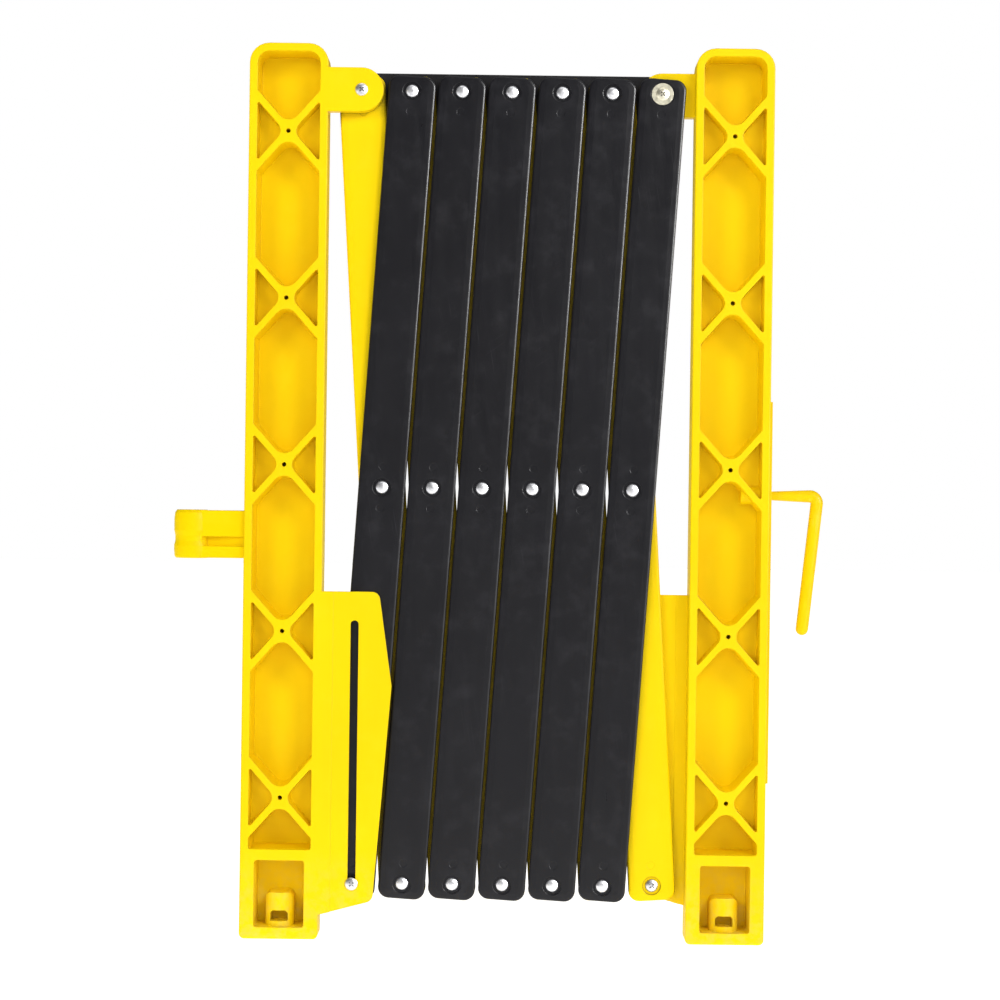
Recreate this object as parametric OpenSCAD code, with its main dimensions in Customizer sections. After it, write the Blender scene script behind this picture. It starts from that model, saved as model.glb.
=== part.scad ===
// Folding lattice barrier on two open-backed end posts, stored folded.
// +X runs from the left post to the right post, +Z is up, -Y is the open face of the posts.
// The origin is on the floor, in the middle of the folded barrier.

/* [Lattice] */
// Number of slats in each layer
pitches = 6; // [6:1:6]
// Distance from a slat's end rivet to its middle rivet
arm = 444; // [430:1:450]
// Distance between neighbouring top pivots when folded
fold_pitch = 56; // [54:0.5:60]
// Height of the top pivots
top_z = 949; // [945:1:952]
// Width of a slat
slat_w = 52.5; // [44:0.5:53]
// Thickness of a slat
slat_t = 9.5; // [9:0.1:10]
// How far a slat runs past its end rivets
slat_over = 17; // [14:0.5:18]
// Corner radius of a slat
slat_r = 12; // [9:0.5:13]

/* [End posts] */
// Height of an end post
post_h = 1000; // [1000:1:1004]
// Width of an end post
post_w = 88; // [86:1:92]
// Depth of an end post
post_d = 44; // [43:1:60]
// Thickness of the side walls at the open rim
post_wall = 9; // [8:0.5:10]
// Thickness of the closed back wall
back_wall = 5; // [4:0.5:7]
// Radius of the two top corners
post_r = 22; // [18:1:24]
// Gap between a post's side and the pivots beside it
pivot_gap = 37; // [36:0.5:40]

/* [Cross ribs] */
// Number of X-shaped ribs in a post
rib_count = 5; // [5:1:5]
// Height of the top X centre below the post's top
rib_first = 98; // [96:1:104]
// Spacing of the X centres
rib_pitch = 186; // [184:1:187]
// Thickness of an X arm
rib_t = 7.2; // [6.6:0.2:9]
// Angle of an X arm above the horizontal
rib_angle = 48.5; // [46:0.5:50]

/* [Coupling] */
// How far the socket stands out of the left post
socket_reach = 80; // [70:1:84]
// How far the hook stands out of the right post
hook_reach = 62; // [58:1:70]
// Diameter of the hook's leg
hook_d = 14; // [12:0.5:15]
// Inward lean of the hook's leg
hook_lean = 6; // [4:0.5:8]

/* [Hidden] */

$fn = 48;

// Colours
yellow = [0.98, 0.80, 0.02];
black = [0.17, 0.17, 0.18];
zinc = [0.82, 0.82, 0.84];

// Depth stations, counted from the open front of the posts
head_h = 3.2;
front_y = -(post_d + head_h) / 2 + head_h;
back_y = front_y + post_d;
mid_y = (front_y + back_y) / 2;
plate_t = 5;
layer_gap = 1;
front_slat_y = front_y + plate_t + 0.6;
rear_slat_y = front_slat_y + slat_t + layer_gap;
right_plate_y = rear_slat_y + slat_t + 0.6;
ear_t = plate_t + 0.6 + slat_t;
keeper_y = right_plate_y + plate_t + 0.6;
keeper_t = 4.5;

// Stations along X
centre_x = (socket_reach - hook_reach) / 2;
left_pivot_x = centre_x - pitches * fold_pitch / 2;
right_pivot_x = centre_x + pitches * fold_pitch / 2;
left_post_x = left_pivot_x - pivot_gap - post_w / 2;
right_post_x = right_pivot_x + pivot_gap + post_w / 2;

// Lattice: the lean of a slat when folded, and the heights that follow from it
fold_angle = asin(fold_pitch / (2 * arm));
mid_z = top_z - arm * cos(fold_angle);
low_z = top_z - 2 * arm * cos(fold_angle);

// Rivets and pins
shank_r = 4;
big_shank_r = 5;
head_r = 7.25;
tight = 0.02;
running = 0.08;
loose = 0.35;
tail_r = 6.5;
tail_t = 2.2;
tail_gap = 0.3;
recess_r = 10.5;
recess_depth = 2.4;
big_head_r = 12.25;
boss_r = 13.5;
boss_h = 0.35;
slat_face = 3.2;
slat_wall = 3.5;
slat_cells = 7;
cell_rib = 3;
mark_r = 4.5;
mark_depth = 0.25;
mark_gap = 23;

// Post pockets
half_in = post_w / 2 - post_wall;
pocket_depth = post_d - back_wall;
side_depth = 22;
rib_half = rib_t / 2;
notch_r = 14;
side_r = 12;
corner_r = 3;
side_corner_r = 1.6;
pilot_r = 2.5;
pilot_depth = 30;

// Foot compartment at the base of a post
foot_half_w = 28;
foot_floor = 13;
foot_top = 88;
divider_top = 100;
foot_boss_r = 16;
foot_boss_top = 51;
stem_r = 6.5;
stem_depth = 45;
nut_af = 19.6;
nut_low = 19;
nut_high = 31;

// Guide plates: outline counted from the post's side, and the slot in them
plate_top = 389;
plate_bottom = 26;
plate_low_outer = 42;
right_plate_lift = 12;  // the right plate's lower edge is this much higher
plate_wide_z = 284;
slot_half = 4.5;
slot_low = low_z - 0.3;
slot_high = 352.5;
crease = 13;

// Ears
ear_r = 24.5;

// Coupling
socket_low = 424;
socket_high = 478;
socket_r = 20;
socket_bore_r = 8.5;
hook_z = 502;
hook_end_z = 346;
hook_arm_r = 5;
hook_hole_depth = 30;
pad_t = 3;
pad_low = 180;
pad_high = 607;

// Keeper bar
keeper_low = 28;
keeper_high = 23;
keeper_over = 16;
keeper_stub_gap = 0.4;

// ---- Outlines -------------------------------------------------------------------------

// Direction of the outward normal of the tangent from one circle to the next
function tangent(p, q) =
    atan2(q[1] - p[1], q[0] - p[0]) - acos((p[2] - q[2]) / norm([q[0] - p[0], q[1] - p[1]]));

// Smallest turn from one direction to another, counter-clockwise
function turn(a, b) = ((b - a) % 360 + 360) % 360;

// Convex outline round a counter-clockwise list of circles [x, y, r], each shrunk by inset
function outline(circles, inset = 0, steps = 6) = [
    for (i = [0 : len(circles) - 1])
        let (
            c = circles[i],
            before = circles[(i + len(circles) - 1) % len(circles)],
            after = circles[(i + 1) % len(circles)],
            a = tangent(before, c),
            sweep = turn(a, tangent(c, after))
        )
        for (k = [0 : steps])
            [c[0] + (c[2] - inset) * cos(a + sweep * k / steps),
             c[1] + (c[2] - inset) * sin(a + sweep * k / steps)]
];

// Rounded rectangle as circles, counter-clockwise from the lower left
function box_circles(x0, z0, x1, z1, low_r, high_r) = [
    [x0 + low_r, z0 + low_r, low_r],
    [x1 - low_r, z0 + low_r, low_r],
    [x1 - high_r, z1 - high_r, high_r],
    [x0 + high_r, z1 - high_r, high_r]
];

// Upright prism of an X-Z outline between two depths
module slab(points, y0, y1) {
    translate([0, y1, 0])
        rotate([90, 0, 0])
            linear_extrude(height = y1 - y0)
                polygon(points);
}

// Solid through a row of insets of one outline; each station is [y, inset]
module loft(circles, stations, steps = 6) {
    rings = [for (s = stations) outline(circles, s[1], steps)];
    n = len(rings[0]);
    last = len(stations) - 1;
    points = [for (i = [0 : last]) for (p = rings[i]) [p[0], stations[i][0], p[1]]];
    sides = [
        for (i = [0 : last - 1])
            for (k = [0 : n - 1])
                [i * n + k, i * n + (k + 1) % n, (i + 1) * n + (k + 1) % n, (i + 1) * n + k]
    ];
    front_cap = [for (k = [n - 1 : -1 : 0]) k];
    back_cap = [for (k = [0 : n - 1]) last * n + k];
    polyhedron(points = points, faces = concat([front_cap, back_cap], sides));
}

// Cylinder along Y
module y_cylinder(r, y0, y1, x = 0, z = 0) {
    translate([x, y1, z])
        rotate([90, 0, 0])
            cylinder(r = r, h = y1 - y0);
}

// ---- End posts ------------------------------------------------------------------------

rib_zs = [for (k = [0 : rib_count - 1]) post_h - rib_first - rib_pitch * k];

// Centre of a circle resting in the notch above or below an X
notch_drop = (rib_half + notch_r) / cos(rib_angle);
// Height of a circle that touches both an arm's outer edge and the side wall
corner_drop = (rib_half + corner_r + (half_in - corner_r) * sin(rib_angle)) / cos(rib_angle);
// The same for the pocket beside an X
side_x = (rib_half + side_r) / sin(rib_angle);
side_rise = ((half_in - side_corner_r) * sin(rib_angle) - rib_half - side_corner_r) / cos(rib_angle);

// Pocket between a lower and an upper edge, each either a notch at an X or a flat end
function pocket(low, high, low_flat, high_flat, end_r) = concat(
    low_flat
        ? [[-half_in + corner_r, low + corner_r, corner_r], [half_in - corner_r, low + corner_r, corner_r]]
        : [[-half_in + corner_r, low + corner_drop, corner_r], [0, low + notch_drop, notch_r],
           [half_in - corner_r, low + corner_drop, corner_r]],
    high_flat
        ? [[half_in - end_r, high - end_r, end_r], [-half_in + end_r, high - end_r, end_r]]
        : [[half_in - corner_r, high - corner_drop, corner_r], [0, high - notch_drop, notch_r],
           [-half_in + corner_r, high - corner_drop, corner_r]]
);

module post_shell() {
    loft(
        box_circles(-post_w / 2, 0, post_w / 2, post_h, 6, post_r),
        [[front_y, 1.4], [front_y + 0.4, 0.5], [front_y + 1.4, 0], [back_y - 5, 0],
         [back_y - 2.6, 0.8], [back_y - 0.9, 2.4], [back_y, 4.6]]
    );
}

// One drafted pocket, open at the front
module cut_pocket(circles, draft, depth = pocket_depth) {
    over = 0.5;
    loft(circles, [[front_y - over, -over * draft / depth], [front_y + depth, draft]]);
}

module rib_pockets() {
    top_flat = post_h - post_wall;
    last = rib_count - 1;
    cut_pocket(pocket(rib_zs[0], top_flat, false, true, post_r - post_wall), 2.2);
    for (k = [0 : last - 1])
        cut_pocket(pocket(rib_zs[k + 1], rib_zs[k], false, false, corner_r), 2.2);
    cut_pocket(pocket(divider_top, rib_zs[last], true, false, corner_r), 2.2);
    for (z = rib_zs, side = [-1, 1])
        cut_pocket(
            side < 0
                ? [[-half_in + side_corner_r, z - side_rise, side_corner_r], [-side_x, z, side_r],
                   [-half_in + side_corner_r, z + side_rise, side_corner_r]]
                : [[half_in - side_corner_r, z + side_rise, side_corner_r], [side_x, z, side_r],
                   [half_in - side_corner_r, z - side_rise, side_corner_r]],
            1.2,
            side_depth
        );
}

// Upright block with a rounded front that holds the foot's stem and its captive nut
module foot_boss() {
    intersection() {
        union() {
            translate([0, mid_y, 0])
                cylinder(r = foot_boss_r, h = foot_boss_top);
            translate([-foot_boss_r, mid_y, 0])
                cube([2 * foot_boss_r, back_y - back_wall - mid_y + 1, foot_boss_top]);
        }
        slab(outline(box_circles(-foot_boss_r, 5, foot_boss_r, foot_boss_top, 1, 8)), front_y + 2, back_y - 1);
    }
}

// Bore for the foot's stem, and the slot that its nut slides into from the front
module foot_cuts() {
    half = nut_af / 2;
    translate([0, mid_y, -1])
        cylinder(r = stem_r, h = stem_depth + 1);
    slab(
        [[-half, nut_low], [half, nut_low], [half, nut_high - 3], [half - 3, nut_high],
         [3 - half, nut_high], [-half, nut_high - 3]],
        front_y - 1, mid_y + half
    );
}

module post_body() {
    difference() {
        union() {
            difference() {
                post_shell();
                rib_pockets();
                cut_pocket(box_circles(-foot_half_w, foot_floor, foot_half_w, foot_top, corner_r, corner_r), 1.5);
            }
            foot_boss();
        }
        foot_cuts();
        for (z = rib_zs)
            y_cylinder(pilot_r, front_y - 1, front_y + pilot_depth, 0, z);
    }
}

// Ear that carries a top pivot; side is +1 when it points to +X
module ear(side, y0) {
    x = side * (post_w / 2 + pivot_gap);
    from = post_w / 2 - 3;
    y_cylinder(ear_r, y0, y0 + ear_t, x, top_z);
    translate([side > 0 ? from : x, y0, top_z - ear_r])
        cube([abs(x) - from, ear_t, 2 * ear_r]);
}

// Slotted guide plate that a bottom pin slides in
module guide_plate(side, y0, lift) {
    edge = post_w / 2;
    bottom = plate_bottom + lift;
    shape = [
        [edge - 3, bottom + 2, 1],
        [edge + 61 - 9, plate_low_outer + lift + 9, 9],
        [edge + 79 - 4, plate_wide_z, 4],
        [edge + 65 - 9, plate_top - 9, 9],
        [edge - 3, plate_top - 1, 1]
    ];
    mirror([side > 0 ? 0 : 1, 0, 0])
        difference() {
            union() {
                slab(outline(shape), y0 + 0.4, y0 + plate_t);
                slab(
                    [[edge - 3, bottom + 1], [edge + crease, bottom + 5],
                     [edge + crease, plate_top], [edge - 3, plate_top]],
                    y0, y0 + plate_t
                );
            }
            y_cylinder(slot_half, y0 - 1, y0 + plate_t + 1, edge + pivot_gap, slot_low);
            y_cylinder(slot_half, y0 - 1, y0 + plate_t + 1, edge + pivot_gap, slot_high);
            translate([edge + pivot_gap - slot_half, y0 - 1, slot_low])
                cube([2 * slot_half, plate_t + 2, slot_high - slot_low]);
        }
}

module left_post() {
    color(yellow)
        translate([left_post_x, 0, 0])
            difference() {
                union() {
                    post_body();
                    ear(1, front_y);
                    guide_plate(1, front_y, 0);
                }
                y_cylinder(shank_r + tight, front_y - 1, front_y + ear_t + 1, post_w / 2 + pivot_gap, top_z);
                translate([-post_w / 2 - 1, mid_y - 12, socket_low + 9])
                    cube([8, 24, socket_high - socket_low - 18]);
            }
}

// Raised pad on the outer side, and the boss round the hook's arm
module hook_pad() {
    translate([post_w / 2 - 2, front_y + 9, pad_low])
        cube([pad_t + 2, post_d - 18, pad_high - pad_low]);
    translate([post_w / 2 + 1, mid_y, hook_z])
        rotate([0, -90, 0])
            cylinder(r = 10, h = hook_hole_depth + 2);
}

module right_post() {
    color(yellow)
        translate([right_post_x, 0, 0])
            difference() {
                union() {
                    post_body();
                    ear(-1, rear_slat_y);
                    guide_plate(-1, right_plate_y, right_plate_lift);
                    hook_pad();
                }
                y_cylinder(big_shank_r + tight, rear_slat_y - 1, rear_slat_y + ear_t + 1,
                           -post_w / 2 - pivot_gap, top_z);
                translate([post_w / 2 + pad_t + 1, mid_y, hook_z])
                    rotate([0, -90, 0])
                        cylinder(r = hook_arm_r + 0.06, h = hook_hole_depth + 1);
            }
}

// ---- Slats ----------------------------------------------------------------------------

// Slat about its middle rivet, lying along Z, with its face at y = 0 and its ribs at the back
module slat(top_hole, mid_hole, low_hole, top_recess = recess_r) {
    half_l = arm + slat_over;
    half_w = slat_w / 2;
    cell_run = arm - 2 * boss_r - 2;
    cell_l = (cell_run - (slat_cells - 1) * cell_rib) / slat_cells;
    difference() {
        union() {
            loft(
                box_circles(-half_w, -half_l, half_w, half_l, slat_r, slat_r),
                [[0, 8], [0.12, 7], [0.55, 2.6], [0.95, 1.5], [1.5, 0.7], [2.2, 0.2], [3, 0], [slat_t, 0.3]]
            );
            for (z = [-arm, 0, arm])
                y_cylinder(boss_r, 2, slat_t + boss_h, 0, z);
        }
        for (up = [-1, 1], k = [0 : slat_cells - 1])
            translate([
                -half_w + slat_wall,
                slat_face,
                up * (boss_r + 1 + cell_l / 2 + k * (cell_l + cell_rib)) - cell_l / 2
            ])
                cube([slat_w - 2 * slat_wall, slat_t, cell_l]);
        y_cylinder(top_hole, -1, slat_t + 1, 0, arm);
        y_cylinder(mid_hole, -1, slat_t + 1, 0, 0);
        y_cylinder(low_hole, -1, slat_t + 1, 0, -arm);
        y_cylinder(top_recess, -1, recess_depth, 0, arm);
        y_cylinder(recess_r, -1, recess_depth, 0, 0);
        y_cylinder(recess_r, -1, recess_depth, 0, -arm);
        for (z = [arm - mark_gap, mark_gap, -mark_gap, mark_gap - arm])
            y_cylinder(mark_r, -1, mark_depth, 0, z);
    }
}

// Front slats lean to the right and carry their rivets
module front_slat(i) {
    color(black)
        translate([left_pivot_x + (i - 0.5) * fold_pitch, front_slat_y, mid_z])
            rotate([0, fold_angle, 0])
                slat(
                    i == pitches ? big_shank_r + running : shank_r + tight,
                    shank_r + tight,
                    shank_r + tight,
                    i == pitches ? big_head_r + 0.7 : recess_r
                );
}

// Rear slats lean to the left and turn on those rivets; the even ones close the linkage's loops
module rear_slat(i) {
    end_play = i % 2 == 0 ? loose : running;
    color(yellow)
        translate([left_pivot_x + (i - 0.5) * fold_pitch, rear_slat_y, mid_z])
            rotate([0, -fold_angle, 0])
                slat(
                    shank_r + end_play,
                    shank_r + running,
                    shank_r + (i == pitches ? tight : end_play)
                );
}

// ---- Rivets, screws and pins ----------------------------------------------------------

// Domed profile [radius, height], from the rim up to the crown
function dome(r, h, steps = 6) = [
    for (k = [0 : steps])
        let (a = 90 * k / steps)
        [r * cos(a), h * sin(a)]
];

// Turned fastener along Y: seat is the head's underside, tail the far flange's face
module fastener(x, z, seat, tail, r, cap_r, cap_h, end) {
    translate([x, seat, z])
        rotate([90, 0, 0])
            rotate_extrude()
                polygon(concat(
                    [[0, -end], [tail_r - 1, -end], [tail_r, -end + 1], [tail_r, -tail], [r, -tail], [r, 0]],
                    [for (p = dome(cap_r, cap_h)) [max(p[0], 0), p[1]]]
                ));
}

// Cross recess in a screw head
module cross_recess(x, z, face) {
    for (a = [45, -45])
        translate([x, face, z])
            rotate([0, a, 0])
                cube([6.4, 3.2, 1.6], center = true);
}

rivet_seat = front_slat_y + recess_depth;
rivet_tail = rear_slat_y + slat_t + boss_h + tail_gap - rivet_seat;

module rivet(x, z) {
    fastener(x, z, rivet_seat, rivet_tail, shank_r, head_r, 3.4, rivet_tail + tail_t);
}

// The rivets that ride on front slat i
module rivet_group(i) {
    x = left_pivot_x + i * fold_pitch;
    color(zinc) {
        rivet(x - fold_pitch / 2, mid_z);
        if (i < pitches)
            rivet(x, top_z);
        if (i > 1)
            rivet(x - fold_pitch, low_z);
    }
}

// Top left pivot screw; its tail runs on behind the slat as the keeper bar's rest
module left_ear_screw() {
    tail = rear_slat_y + slat_t + boss_h + tail_gap - front_y;
    color(zinc)
        union() {
            difference() {
                fastener(left_pivot_x, top_z, front_y, tail, shank_r, head_r, head_h, tail + tail_t);
                cross_recess(left_pivot_x, top_z, front_y - head_h);
            }
            y_cylinder(shank_r, front_y + tail, keeper_y + keeper_t, left_pivot_x, top_z);
        }
}

// Top right pivot screw with a wide washer head; it carries the slat, the ear and the keeper bar
module right_ear_screw() {
    tail = keeper_y + keeper_t + tail_gap - rivet_seat;
    color(zinc)
        difference() {
            union() {
                fastener(right_pivot_x, top_z, rivet_seat, tail, big_shank_r, 8, 4.4, tail + 2.6);
                y_cylinder(big_head_r, rivet_seat - 1.8, rivet_seat, right_pivot_x, top_z);
            }
            cross_recess(right_pivot_x, top_z, rivet_seat - 4.4);
        }
}

// Bottom pins that slide in the guide plates
module left_guide_pin() {
    seat = front_y - tail_gap;
    tail = front_slat_y + slat_t + boss_h - seat;
    color(zinc)
        difference() {
            fastener(left_pivot_x, low_z, seat, tail, shank_r, head_r, head_h - tail_gap, tail + tail_t);
            cross_recess(left_pivot_x, low_z, front_y - head_h);
        }
}

module right_guide_pin() {
    seat = rear_slat_y + recess_depth;
    tail = right_plate_y + plate_t + tail_gap - seat;
    color(zinc)
        difference() {
            fastener(right_pivot_x, low_z, seat, tail, shank_r, head_r, 3.4, tail + tail_t);
            cross_recess(right_pivot_x, low_z, seat - 3.4);
        }
}

// ---- Keeper bar and coupling ----------------------------------------------------------

// Flat bar behind the slat tops that swings on the right ear's screw and rests on the left one
module keeper_bar() {
    left_end = left_pivot_x - 14;
    right_end = right_pivot_x + keeper_over;
    color(black)
        difference() {
            loft(
                box_circles(left_end, top_z - keeper_low, right_end, top_z + keeper_high, 10, 8),
                [[keeper_y, 0.8], [keeper_y + 0.8, 0], [keeper_y + keeper_t - 0.8, 0], [keeper_y + keeper_t, 0.8]]
            );
            y_cylinder(big_shank_r + running, keeper_y - 1, keeper_y + keeper_t + 1, right_pivot_x, top_z);
            translate([left_end - 1, keeper_y - 1, top_z - keeper_low - 1])
                cube([29, keeper_t + 2, keeper_low + 1 + shank_r + keeper_stub_gap]);
        }
}

// Eye that takes the next barrier's hook, on a web let into the left post's side
module coupling_socket() {
    x = left_post_x - post_w / 2 - socket_reach + socket_r;
    wall_x = left_post_x - post_w / 2;
    height = socket_high - socket_low;
    color(yellow)
        difference() {
            union() {
                translate([x, mid_y, socket_low])
                    rotate_extrude()
                        polygon([
                            [0, 0], [socket_r - 2, 0], [socket_r - 0.6, 2], [socket_r, 8], [socket_r, 14],
                            [socket_r - 1.2, 19], [socket_r - 1.2, 25], [socket_r, 31], [socket_r, 44],
                            [socket_r - 0.8, height - 3], [socket_r - 3, height], [0, height]
                        ]);
                difference() {
                    translate([x, mid_y - 15, socket_low + 0.5])
                        cube([wall_x - x, 30, height - 1]);
                    for (side = [-1, 1])
                        translate([wall_x + 1, mid_y + side * 16.5, 0])
                            rotate([0, 0, side * 7])
                                translate([-48, -5, socket_low + 13.5])
                                    cube([49, 10, 11]);
                }
                translate([wall_x - 1, mid_y - 11.95, socket_low + 9.05])
                    cube([7.9, 23.9, height - 18.1]);
            }
            translate([x, mid_y, socket_low - 1])
                cylinder(r = socket_bore_r, h = height + 2);
        }
}

// Bent hook: its arm swivels in the right post's side and its leg hangs down
module hook_rod() {
    side_x0 = right_post_x + post_w / 2 + pad_t;
    bend_r = 8;
    leg_r = hook_d / 2;
    straight_r = leg_r - 0.03;
    bend_x = right_post_x + post_w / 2 + hook_reach - bend_r - leg_r;
    bend = 90 + hook_lean;
    leg_top = [bend_x + bend_r * sin(bend), hook_z - bend_r + bend_r * cos(bend)];
    leg_l = (leg_top[1] - hook_end_z - leg_r) / cos(hook_lean);
    color(yellow) {
        translate([side_x0 - hook_hole_depth + 0.5, mid_y, hook_z])
            rotate([0, 90, 0])
                cylinder(r = hook_arm_r, h = hook_hole_depth - 0.5 + 2);
        translate([side_x0 + 1, mid_y, hook_z])
            rotate([0, 90, 0])
                cylinder(r1 = hook_arm_r - 0.01, r2 = straight_r, h = bend_x - side_x0 - 0.7);
        translate([bend_x, mid_y, hook_z - bend_r])
            rotate([90, 0, 0])
                rotate([0, 0, 90 - bend])
                    rotate_extrude(angle = bend)
                        translate([bend_r, 0])
                            circle(r = leg_r);
        translate([leg_top[0], mid_y, leg_top[1]])
            rotate([0, 180 + hook_lean, 0])
                rotate_extrude()
                    polygon(concat(
                        [[0, -0.3], [straight_r, -0.3]],
                        [for (p = dome(straight_r, leg_r)) [max(p[0], 0), leg_l + p[1]]]
                    ));
    }
}

left_post();
right_post();
front_slat(1);  // front_slat_1
front_slat(2);  // front_slat_2
front_slat(3);  // front_slat_3
front_slat(4);  // front_slat_4
front_slat(5);  // front_slat_5
front_slat(6);  // front_slat_6
rear_slat(1);  // rear_slat_1
rear_slat(2);  // rear_slat_2
rear_slat(3);  // rear_slat_3
rear_slat(4);  // rear_slat_4
rear_slat(5);  // rear_slat_5
rear_slat(6);  // rear_slat_6
rivet_group(1);  // rivets_1
rivet_group(2);  // rivets_2
rivet_group(3);  // rivets_3
rivet_group(4);  // rivets_4
rivet_group(5);  // rivets_5
rivet_group(6);  // rivets_6
left_ear_screw();
right_ear_screw();
left_guide_pin();
right_guide_pin();
keeper_bar();
coupling_socket();
hook_rod();
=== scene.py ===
"""Looks of the folding lattice barrier: procedural materials, floor, lights and camera."""
import math

import bpy
from mathutils import Matrix, Vector

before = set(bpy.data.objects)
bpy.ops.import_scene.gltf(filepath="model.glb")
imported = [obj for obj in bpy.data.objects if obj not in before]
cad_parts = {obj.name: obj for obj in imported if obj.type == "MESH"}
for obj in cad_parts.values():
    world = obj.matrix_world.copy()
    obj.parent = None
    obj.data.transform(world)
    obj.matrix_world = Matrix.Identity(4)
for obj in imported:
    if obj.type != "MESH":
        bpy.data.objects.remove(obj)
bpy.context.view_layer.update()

# ---- Numbers --------------------------------------------------------------------------

SLATS = sum(name.startswith("front_slat_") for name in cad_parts)
FOLD_LEAN = math.radians(3.615)  # lean of a folded slat from the vertical
HOOK_LEAN = math.radians(6)  # lean of the hook's leg

# Base colours, linear
POST_YELLOW = (0.90, 0.655, 0.001)
POST_DEEP = (0.86, 0.595, 0.001)
POST_PALE = (0.92, 0.70, 0.015)
SLAT_BLACK = (0.0092, 0.0090, 0.0113)
SLAT_DEEP = (0.0062, 0.0060, 0.0078)
SLAT_PALE = (0.040, 0.039, 0.046)
YELLOWS = (POST_YELLOW, POST_DEEP, POST_PALE)
BLACKS = (SLAT_BLACK, SLAT_DEEP, SLAT_PALE)
DUST = (0.42, 0.39, 0.34)
ALUMINIUM = (0.84, 0.84, 0.86)
ZINC = (0.74, 0.74, 0.76)
CREAM_ZINC = (0.83, 0.79, 0.63)
GRIME = (0.30, 0.29, 0.28)
BRIGHT_EDGE = (0.92, 0.92, 0.92)
# Painted shade colour for the recesses of screws and rivets
PAINTED_RECESS_SHADE = (0.035, 0.033, 0.030)
HOOK_YELLOW = (0.93, 0.63, 0.002)
HOOK_DEEP = (0.88, 0.57, 0.002)
HOOK_PALE = (0.95, 0.74, 0.12)

# How far the painted-shade nodes look for a wall that shuts a place in
GAP_REACH = 0.02
RECESS_REACH = 0.0025

# Camera: almost square on, with the frame turned a little
CAMERA_AT = Vector((0.006, -3.0, 0.508))
CAMERA_HEADING = math.radians(0.09)
CAMERA_DIP = math.radians(0.28)
CAMERA_ROLL = math.radians(0.765)
LENS_MM = 96.2
SENSOR_MM = 36.0


# ---- Node graph helper ----------------------------------------------------------------


class Graph:
    """A material's node graph. Inputs are given as constants or as sockets to link."""

    def __init__(self, name):
        self.material = bpy.data.materials.new(name)
        self.material.use_nodes = True
        self.tree = self.material.node_tree
        self.tree.nodes.clear()
        self.shader = self.tree.nodes.new("ShaderNodeBsdfPrincipled")
        output = self.tree.nodes.new("ShaderNodeOutputMaterial")
        self.tree.links.new(self.shader.outputs[0], output.inputs["Surface"])
        self.coords = self.tree.nodes.new("ShaderNodeTexCoord").outputs["Object"]

    def put(self, socket, value):
        if isinstance(value, bpy.types.NodeSocket):
            self.tree.links.new(value, socket)
        elif hasattr(socket.default_value, "__len__") and len(socket.default_value) == 4:
            socket.default_value = (*value, 1.0) if len(value) == 3 else value
        else:
            socket.default_value = value

    def node(self, kind, inputs=None, **settings):
        made = self.tree.nodes.new(kind)
        for key, value in settings.items():
            setattr(made, key, value)
        for key, value in (inputs or {}).items():
            self.put(made.inputs[key], value)
        return made

    def math(self, operation, a, b=0.0, clamp=False):
        return self.node(
            "ShaderNodeMath", {0: a, 1: b}, operation=operation, use_clamp=clamp
        ).outputs[0]

    def span(self, value, low, high, to_low=0.0, to_high=1.0):
        """value moved from low..high to to_low..to_high, held at the ends."""
        inputs = {
            "Value": value,
            "From Min": low,
            "From Max": high,
            "To Min": to_low,
            "To Max": to_high,
        }
        return self.node("ShaderNodeMapRange", inputs, clamp=True).outputs[0]

    def mix(self, share, a, b, blend="MIX"):
        made = self.node("ShaderNodeMix", data_type="RGBA", blend_type=blend)
        self.put(made.inputs[0], share)
        self.put(made.inputs[6], a)
        self.put(made.inputs[7], b)
        return made.outputs[2]

    def mapped(self, scale=(1, 1, 1), turn=(0, 0, 0), shift=(0, 0, 0)):
        """Object coordinates, turned first and then stretched."""
        turned = self.node(
            "ShaderNodeMapping", {"Vector": self.coords, "Rotation": turn, "Location": shift}
        ).outputs[0]
        return self.node("ShaderNodeMapping", {"Vector": turned, "Scale": scale}).outputs[0]

    def noise(self, scale, detail=2.0, roughness=0.5, vector=None, twist=0.0):
        inputs = {
            "Vector": vector or self.coords,
            "Scale": scale,
            "Detail": detail,
            "Roughness": roughness,
            "Distortion": twist,
        }
        return self.node("ShaderNodeTexNoise", inputs).outputs["Fac"]

    def edges(self, radius, low, high):
        """(normal rounded over sharp edges, mask that is 1 on them)."""
        rounded = self.node("ShaderNodeBevel", {"Radius": radius}, samples=6).outputs[0]
        plain = self.node("ShaderNodeNewGeometry").outputs["Normal"]
        facing = self.node("ShaderNodeVectorMath", {0: rounded, 1: plain}, operation="DOT_PRODUCT")
        return rounded, self.span(facing.outputs["Value"], high, low)

    def bump(self, height, distance, strength, normal=None):
        inputs = {"Height": height, "Distance": distance, "Strength": strength}
        if normal is not None:
            inputs["Normal"] = normal
        return self.node("ShaderNodeBump", inputs).outputs[0]

    def set(self, **inputs):
        for key, value in inputs.items():
            self.put(self.shader.inputs[key.replace("_", " ")], value)


# ---- Moulded plastic ------------------------------------------------------------------


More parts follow.
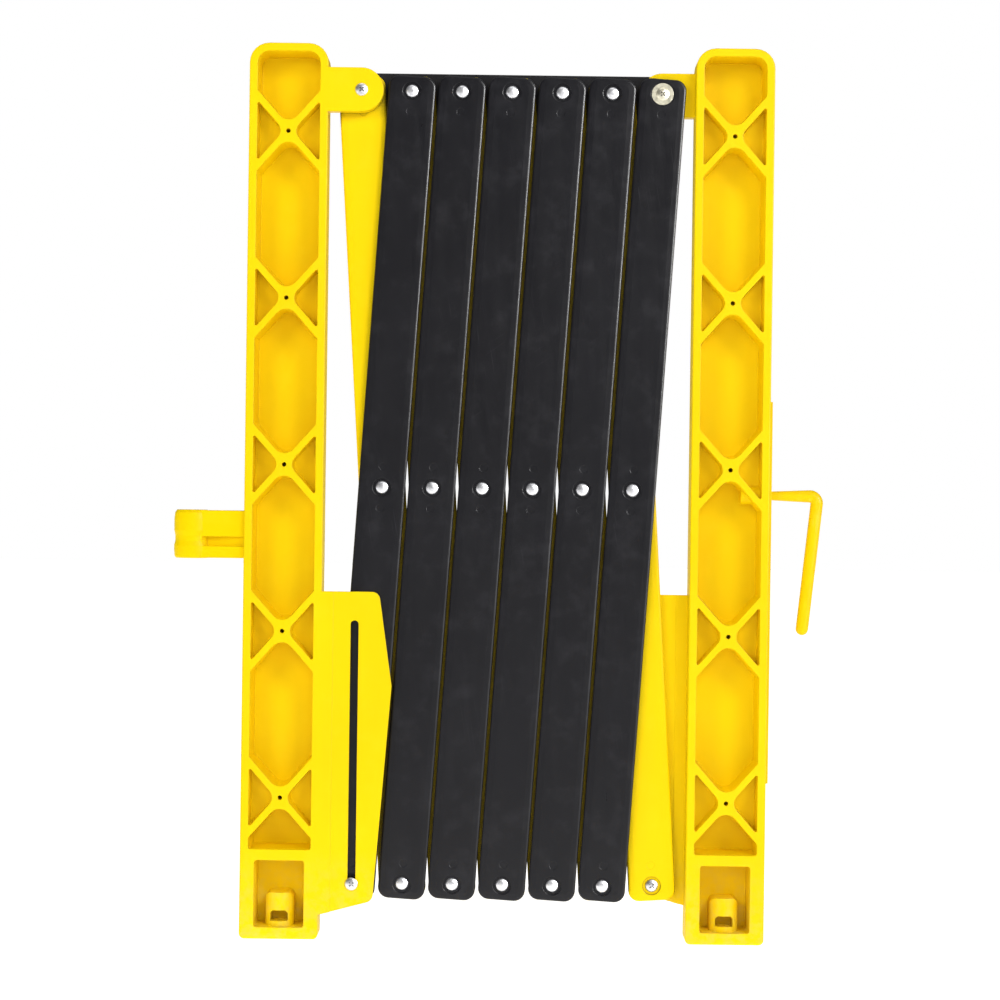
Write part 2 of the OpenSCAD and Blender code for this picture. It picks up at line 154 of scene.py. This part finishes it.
def moulded_plastic(name, colours, roughness, lean, gloss, scuffs, foot=0.0, nook=0.0):
    """Injection-moulded plastic: flow lines, fine grain, scuffs and rubbed edges.

    colours are the main one, a deeper one and the pale one of wear. lean is the piece's angle
    from the vertical. foot is how dusty the lowest part is, and the last one how strongly painted shade
    darkens the plastic inside narrow gaps. The gaps are those of the pose that is drawn, so a bake
    of a slat at rest also darkens the whole face that the next layer covers.
    """
    base, deep, pale = colours
    g = Graph(name)
    along = (0, lean, 0)
    cloud = g.noise(6.0, 3.0)
    flow = g.noise(1.0, 3.0, 0.6, g.mapped((75, 75, 5), along), 0.4)
    blotch = g.noise(42.0, 4.0, 0.62)
    grain = g.noise(1250.0, 1.0)
    peel = g.noise(260.0, 2.0)

    # Fine scratches in two directions, gathered in patches
    patch = g.span(g.noise(7.0, 2.0, vector=g.mapped(turn=along, shift=(0.31, 0.17, 0.53))), 0.50, 0.72)
    down = g.noise(1.0, 2.0, 0.5, g.mapped((1050, 1050, 16), (0, lean + 0.10, 0)))
    over = g.noise(1.0, 2.0, 0.5, g.mapped((24, 900, 820), (0, lean + 0.55, 0)))
    scratch = g.math("MAXIMUM", g.span(down, 0.66, 0.74), g.span(over, 0.69, 0.76))
    scratch = g.math("MULTIPLY", g.math("MULTIPLY", scratch, patch), scuffs)

    # Soft smears where slats and hands rub
    smear = g.noise(1.0, 3.0, 0.55, g.mapped((34, 34, 9), along, (0.7, 0.2, 0.1)), 0.8)
    smear = g.math("MULTIPLY", g.span(smear, 0.56, 0.78), 0.22 * scuffs)

    rounded, rim = g.edges(0.0012, 0.72, 0.985)
    rub = g.math("MULTIPLY", rim, g.span(g.noise(130.0, 4.0, 0.7), 0.40, 0.68, 0.10, 0.62))

    colour = g.mix(g.span(cloud, 0.30, 0.72), base, deep)
    colour = g.mix(g.span(flow, 0.42, 0.80, 0.0, 0.30), colour, deep)
    colour = g.mix(g.span(blotch, 0.52, 0.80, 0.0, 0.22), colour, pale)
    colour = g.mix(g.math("MULTIPLY", rub, 0.55), colour, pale)
    colour = g.mix(g.math("MAXIMUM", scratch, smear), colour, pale)
    # Painted shade: the plastic is darkened towards near black where nearby walls shut it in, as in
    # narrow gaps
    if nook:
        air = g.node("ShaderNodeAmbientOcclusion", {"Distance": GAP_REACH}, samples=8)
        colour = g.mix(g.span(air.outputs["AO"], 0.62, 0.30, 0.0, nook), colour, SLAT_DEEP)
    worn = g.math("ADD", g.math("MULTIPLY", scratch, 0.25), g.math("MULTIPLY", rub, 0.12))
    if foot:
        height = g.node("ShaderNodeSeparateXYZ", {0: g.coords}).outputs["Z"]
        low = g.math("MULTIPLY", g.span(height, 0.10, 0.0), g.span(g.noise(90.0, 5.0, 0.68), 0.42, 0.70))
        grime = g.math("MULTIPLY", low, foot)
        colour = g.mix(grime, colour, DUST)
        worn = g.math("ADD", worn, g.math("MULTIPLY", grime, 0.3))

    matt = g.math("ADD", g.span(flow, 0.3, 0.8, roughness - 0.04, roughness + 0.07), worn)
    matt = g.math("ADD", matt, g.span(blotch, 0.35, 0.75, -0.02, 0.05), clamp=True)
    relief = g.math("ADD", g.math("MULTIPLY", grain, 0.35), g.math("MULTIPLY", peel, 0.8))
    relief = g.math("SUBTRACT", relief, g.math("MULTIPLY", scratch, 0.8))
    relief = g.math("ADD", relief, g.math("MULTIPLY", flow, 0.9))
    g.set(Base_Color=colour, Roughness=matt, Normal=g.bump(relief, 0.00016, 0.5, rounded))
    g.shader.inputs["Specular IOR Level"].default_value = gloss
    g.shader.inputs["IOR"].default_value = 1.5
    return g.material


# ---- Powder coat ----------------------------------------------------------------------


def powder_coat(name, base, deep, pale):
    """Thick satin powder coat on steel rod: orange peel, and thin spots where it is rubbed."""
    g = Graph(name)
    peel = g.noise(420.0, 2.0, 0.45)
    ripple = g.noise(95.0, 2.0)
    cloud = g.noise(14.0, 3.0)
    streak = g.noise(1.0, 3.0, 0.6, g.mapped((260, 260, 22), (0, -HOOK_LEAN, 0)))
    rubbed = g.span(g.math("MULTIPLY", streak, g.noise(28.0, 3.0)), 0.30, 0.46, 0.0, 0.35)
    colour = g.mix(g.span(cloud, 0.3, 0.7), base, deep)
    colour = g.mix(rubbed, colour, pale)
    rounded, _ = g.edges(0.0008, 0.7, 0.98)
    relief = g.math("ADD", g.math("MULTIPLY", peel, 0.6), ripple)
    g.set(
        Base_Color=colour,
        Roughness=g.math("ADD", g.span(peel, 0.3, 0.7, 0.34, 0.46), g.math("MULTIPLY", rubbed, 0.3)),
        Normal=g.bump(relief, 0.00022, 0.45, rounded),
    )
    g.shader.inputs["Specular IOR Level"].default_value = 0.05
    g.shader.inputs["Coat Weight"].default_value = 0.02
    g.shader.inputs["Coat Roughness"].default_value = 0.15
    return g.material


# ---- Metal ----------------------------------------------------------------------------


def plated_metal(name, base, tarnish, roughness, grime):
    """Plated or bare fastener metal: pressed mottling, fine scratches, and painted shade in the corners
    and recesses.
    """
    g = Graph(name)
    mottle = g.noise(240.0, 4.0, 0.6)
    tint = g.noise(70.0, 3.0)
    scratch = g.noise(1.0, 2.0, 0.5, g.mapped((2600, 2600, 170), (0, 0.8, 0)))
    scratch = g.span(scratch, 0.60, 0.72)
    rounded, rim = g.edges(0.0005, 0.55, 0.97)
    colour = g.mix(g.span(tint, 0.35, 0.70, 0.0, 0.55), base, tarnish)
    colour = g.mix(g.span(mottle, 0.60, 0.85, 0.0, grime), colour, GRIME)
    colour = g.mix(g.math("MULTIPLY", rim, 0.35), colour, BRIGHT_EDGE)
    # Painted shade: darkened towards near black in recesses and corners that nearby walls shut in
    air = g.node("ShaderNodeAmbientOcclusion", {"Distance": RECESS_REACH}, samples=8)
    colour = g.mix(g.span(air.outputs["AO"], 0.80, 0.35, 0.0, 0.9), colour, PAINTED_RECESS_SHADE)
    matt = g.span(mottle, 0.3, 0.75, roughness - 0.06, roughness + 0.12)
    matt = g.math("ADD", matt, g.math("MULTIPLY", scratch, 0.12))
    relief = g.math("SUBTRACT", g.math("MULTIPLY", mottle, 0.5), g.math("MULTIPLY", scratch, 0.4))
    g.set(Base_Color=colour, Roughness=matt, Normal=g.bump(relief, 0.00003, 0.35, rounded))
    g.shader.inputs["Metallic"].default_value = 1.0
    return g.material


def wear(node, material):
    """Gives a CAD node its finished material."""
    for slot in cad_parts[node].material_slots:
        slot.material = material


post_plastic = moulded_plastic(
    "post_yellow_plastic", YELLOWS, 0.42, lean=0.0, gloss=0.08, scuffs=0.35, foot=0.22
)
# Rear slats: painted shade darkens them inside the narrow gaps between the layers
rear_plastic = moulded_plastic(
    "slat_yellow_plastic", YELLOWS, 0.40, lean=-FOLD_LEAN, gloss=0.08, scuffs=0.4, nook=0.9
)
front_plastic = moulded_plastic(
    "slat_black_plastic", BLACKS, 0.33, lean=FOLD_LEAN, gloss=0.24, scuffs=0.35
)
keeper_plastic = moulded_plastic(
    "keeper_black_plastic", BLACKS, 0.42, lean=math.pi / 2, gloss=0.25, scuffs=0.4
)
socket_plastic = moulded_plastic(
    "socket_yellow_plastic", YELLOWS, 0.36, lean=0.0, gloss=0.03, scuffs=0.3
)
hook_coat = powder_coat("hook_yellow_coat", HOOK_YELLOW, HOOK_DEEP, HOOK_PALE)
rivet_metal = plated_metal("rivet_aluminium", ALUMINIUM, (0.70, 0.70, 0.73), 0.36, 0.25)
screw_metal = plated_metal("screw_zinc", ZINC, (0.62, 0.62, 0.68), 0.32, 0.40)
cream_metal = plated_metal("screw_cream_zinc", CREAM_ZINC, (0.76, 0.70, 0.50), 0.34, 0.40)

for post in ("left_post", "right_post"):
    wear(post, post_plastic)
for i in range(1, SLATS + 1):
    wear(f"front_slat_{i}", front_plastic)
    wear(f"rear_slat_{i}", rear_plastic)
    wear(f"rivets_{i}", rivet_metal)
for screw in ("left_ear_screw", "left_guide_pin", "right_guide_pin"):
    wear(screw, screw_metal)
wear("right_ear_screw", cream_metal)
wear("keeper_bar", keeper_plastic)
wear("coupling_socket", socket_plastic)
wear("hook_rod", hook_coat)


# ---- Floor, light and camera ----------------------------------------------------------


def add_floor():
    """A white floor that glows, but hardly in a round patch in front of the object."""
    half = 14.0
    mesh = bpy.data.meshes.new("floor")
    mesh.from_pydata(
        [(-half, -half, 0), (half, -half, 0), (half, half, 0), (-half, half, 0)], [], [(0, 1, 2, 3)]
    )
    floor = bpy.data.objects.new("floor", mesh)
    bpy.context.collection.objects.link(floor)
    g = Graph("floor_pale")
    g.set(Base_Color=g.mix(g.span(g.noise(3.0, 3.0), 0.3, 0.7), (0.86, 0.86, 0.86), (0.90, 0.90, 0.90)))
    g.shader.inputs["Roughness"].default_value = 0.7
    g.shader.inputs["Specular IOR Level"].default_value = 0.2
    dim_middle = (0.0, -2.6, 0.0)
    reach = g.node("ShaderNodeVectorMath", {0: g.coords, 1: dim_middle}, operation="DISTANCE")
    glow = g.span(reach.outputs["Value"], 1.5, 2.35, 0.10, 0.93)
    g.set(Emission_Color=(1.0, 1.0, 1.0), Emission_Strength=glow)
    mesh.materials.append(g.material)


def add_softbox(name, at, aim, size, watts, mirrored=True, soft=True):
    """An area light that may be left out of reflections or out of the soft light."""
    light = bpy.data.lights.new(name, "AREA")
    light.shape = "RECTANGLE"
    light.size, light.size_y = size
    light.energy = watts
    lamp = bpy.data.objects.new(name, light)
    bpy.context.collection.objects.link(lamp)
    lamp.location = at
    lamp.rotation_euler = (Vector(aim) - Vector(at)).to_track_quat("-Z", "Y").to_euler()
    lamp.visible_glossy = mirrored
    lamp.visible_diffuse = soft


def add_world():
    """A white backdrop all round that lights the scene less brightly than it looks."""
    world = bpy.data.worlds.new("studio")
    world.use_nodes = True
    tree = world.node_tree
    seen = tree.nodes.new("ShaderNodeLightPath").outputs["Is Camera Ray"]
    strength = tree.nodes.new("ShaderNodeMapRange")
    strength.inputs["To Min"].default_value = 0.20
    strength.inputs["To Max"].default_value = 1.0
    background = tree.nodes["Background"]
    background.inputs["Color"].default_value = (1.0, 1.0, 1.0, 1.0)
    tree.links.new(seen, strength.inputs["Value"])
    tree.links.new(strength.outputs[0], background.inputs["Strength"])
    bpy.context.scene.world = world


def add_camera():
    camera = bpy.data.cameras.new("camera")
    camera.lens = LENS_MM
    camera.sensor_width = SENSOR_MM
    camera.clip_end = 100.0
    seat = bpy.data.objects.new("camera", camera)
    bpy.context.collection.objects.link(seat)
    ahead = Vector(
        (
            -math.sin(CAMERA_HEADING) * math.cos(CAMERA_DIP),
            math.cos(CAMERA_HEADING) * math.cos(CAMERA_DIP),
            -math.sin(CAMERA_DIP),
        )
    )
    right = ahead.cross(Vector((0, 0, 1))).normalized()
    up = right.cross(ahead)
    turned = right * math.cos(CAMERA_ROLL) + up * math.sin(CAMERA_ROLL)
    upright = up * math.cos(CAMERA_ROLL) - right * math.sin(CAMERA_ROLL)
    axes = Matrix((turned, upright, -ahead)).transposed().to_4x4()
    seat.matrix_world = Matrix.Translation(CAMERA_AT) @ axes
    bpy.context.scene.camera = seat


add_floor()
add_world()
add_softbox("key", (2.0, -3.1, 2.7), (0, 0, 0.5), (1.4, 1.4), 67)
add_softbox("fill", (-2.2, -3.2, 2.1), (0, 0, 0.5), (1.4, 1.4), 46, mirrored=False)
add_softbox("front", (0.3, -4.2, 1.5), (0, 0, 0.5), (1.2, 1.2), 22, mirrored=False)
add_softbox("top", (0.2, -0.4, 3.2), (0, 0, 0.4), (2.6, 1.4), 14)
add_softbox("rim", (2.8, -1.5, 1.35), (0, 0, 0.95), (0.9, 1.3), 280, soft=False)
add_camera()
bpy.context.scene.view_settings.view_transform = "Standard"
